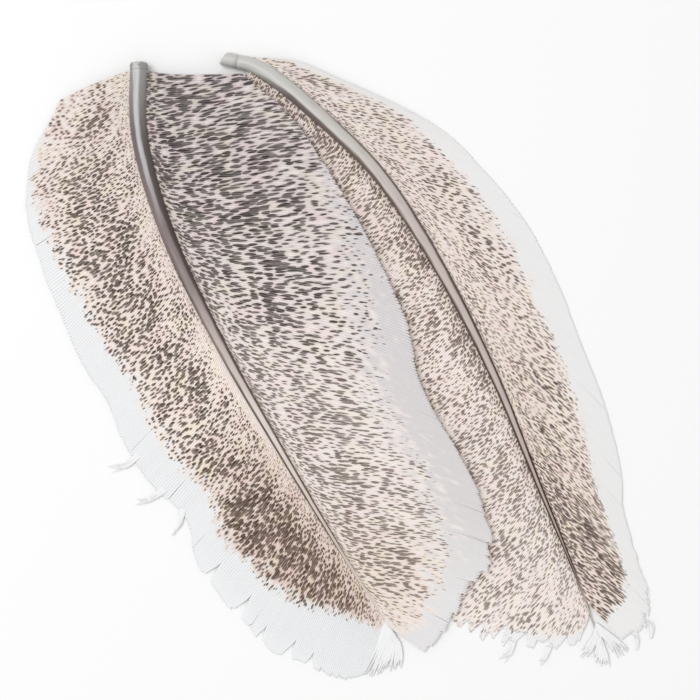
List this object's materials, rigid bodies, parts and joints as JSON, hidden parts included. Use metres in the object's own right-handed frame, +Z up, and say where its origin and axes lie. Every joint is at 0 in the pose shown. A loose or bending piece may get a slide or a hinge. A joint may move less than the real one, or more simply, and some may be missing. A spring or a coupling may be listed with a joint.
{
  "type": "quill feather pair",
  "caption": "Matched pair of broad mottled wing quill feathers, one laid partly over the other, with short cut barrels that a ferrule or holder can grip.",
  "frame": {"origin": "centre of the pair's outline, on the surface that the feathers lie on", "axes": "+Z up from the surface; +Y towards the cut ends of the shafts, along the feathers; +X towards the lower feather's outer edge"},
  "size_m": [0.122, 0.1903, 0.0059],
  "materials": {
    "upper_horn": "smooth satin keratin, light grey ridge with brown-purple sides",
    "lower_horn": "smooth satin keratin, greenish grey, browner towards the tip",
    "pith": "dull white foam",
    "upper_outer_vane": "cream barbs with dark brown flecks and a plain pale margin",
    "upper_inner_vane": "lilac-grey barbs with black-brown flecks and a plain margin",
    "lower_outer_vane": "peach barbs with brown flecks and a plain pale margin",
    "lower_inner_vane": "pinkish white barbs with fine grey-brown flecks",
    "plain_barbs": "plain translucent white barbs"
  },
  "bodies": {
    "lower_feather": {"lower_barrel": "lower_horn", "lower_shaft": "lower_horn", "lower_pith": "pith", "lower_outer_barbs_base": "lower_outer_vane", "lower_outer_barbs_middle": "lower_outer_vane", "lower_outer_barbs_end": "lower_outer_vane", "lower_inner_barbs_base": "lower_inner_vane", "lower_inner_barbs_middle": "lower_inner_vane", "lower_inner_barbs_end": "lower_inner_vane", "lower_tip_barbs": "plain_barbs", "lower_loose_barbs": "plain_barbs"},
    "upper_feather": {"upper_barrel": "upper_horn", "upper_shaft": "upper_horn", "upper_pith": "pith", "upper_outer_barbs_base": "upper_outer_vane", "upper_outer_barbs_middle": "upper_outer_vane", "upper_outer_barbs_end": "upper_outer_vane", "upper_inner_barbs_base": "upper_inner_vane", "upper_inner_barbs_middle": "upper_inner_vane", "upper_inner_barbs_end": "upper_inner_vane", "upper_tip_barbs": "plain_barbs", "upper_loose_barbs": "plain_barbs"}
  },
  "joints": [
    {"name": "upper_lift", "type": "slide", "parent": "lower_feather", "child": "upper_feather", "axis": [0, 0, 1], "range_m": [0, 0.05]}
  ]
}
